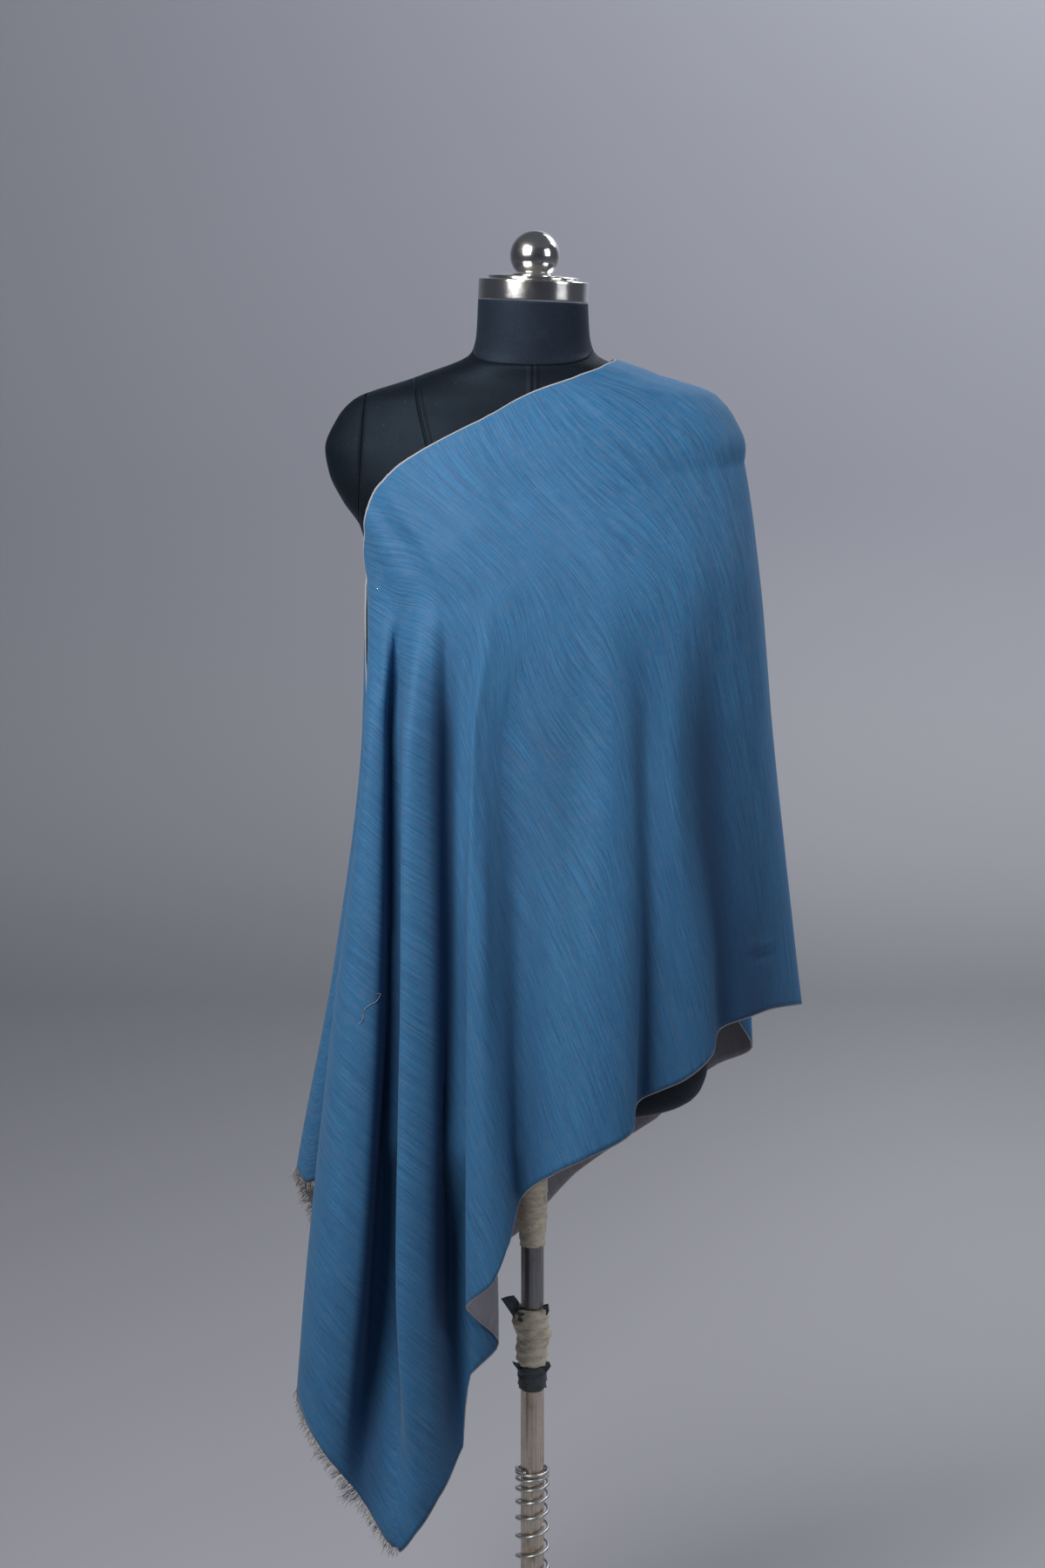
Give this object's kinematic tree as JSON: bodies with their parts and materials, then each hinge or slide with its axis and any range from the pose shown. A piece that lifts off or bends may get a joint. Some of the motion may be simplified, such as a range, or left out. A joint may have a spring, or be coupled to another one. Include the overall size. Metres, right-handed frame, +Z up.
{
  "type": "stole draped on a limbless dress form with stand",
  "caption": "Wide woven stole with short fringed ends, worn over one shoulder and pinned at the far side of a limbless dress form on a round-based pole stand.",
  "frame": {"origin": "centre of the base's underside, on the floor", "axes": "+X towards the shoulder that carries the stole (the form's left), -Y the way the form faces, +Z up along the pole"},
  "size_m": [0.5479, 0.4, 1.6663],
  "materials": {
    "stole": "dry worsted wool weave, blue with grey-brown weft flecks, grey-lavender on the reverse",
    "fringe": "short frayed undyed ends",
    "form_cover": "matte black stretch cover",
    "neck_cover": "matte near-black cover",
    "polished_metal": "polished, slightly worn",
    "dark_tube": "darkened steel, satin",
    "cream_tape": "smooth wrapped tape",
    "grey_tape": "smooth wrapped tape",
    "nickel_tube": "dull nickel plate",
    "spring_wire": "bright spring wire",
    "base_paint": "black satin paint"
  },
  "bodies": {
    "root": {"stole_front": "stole", "stole_arm_side": "stole", "stole_back": "stole", "fringe_front": "fringe", "fringe_back": "fringe", "form_torso": "form_cover", "form_neck": "neck_cover", "arm_plate_right": "form_cover", "arm_plate_left": "form_cover", "neck_ring": "polished_metal", "neck_disc": "polished_metal", "ball_knob": "polished_metal", "pole": "dark_tube", "pole_sleeve": "cream_tape", "pole_band": "grey_tape", "lower_tube": "nickel_tube", "spring": "spring_wire", "base_socket": "base_paint", "base": "base_paint"}
  },
  "joints": []
}
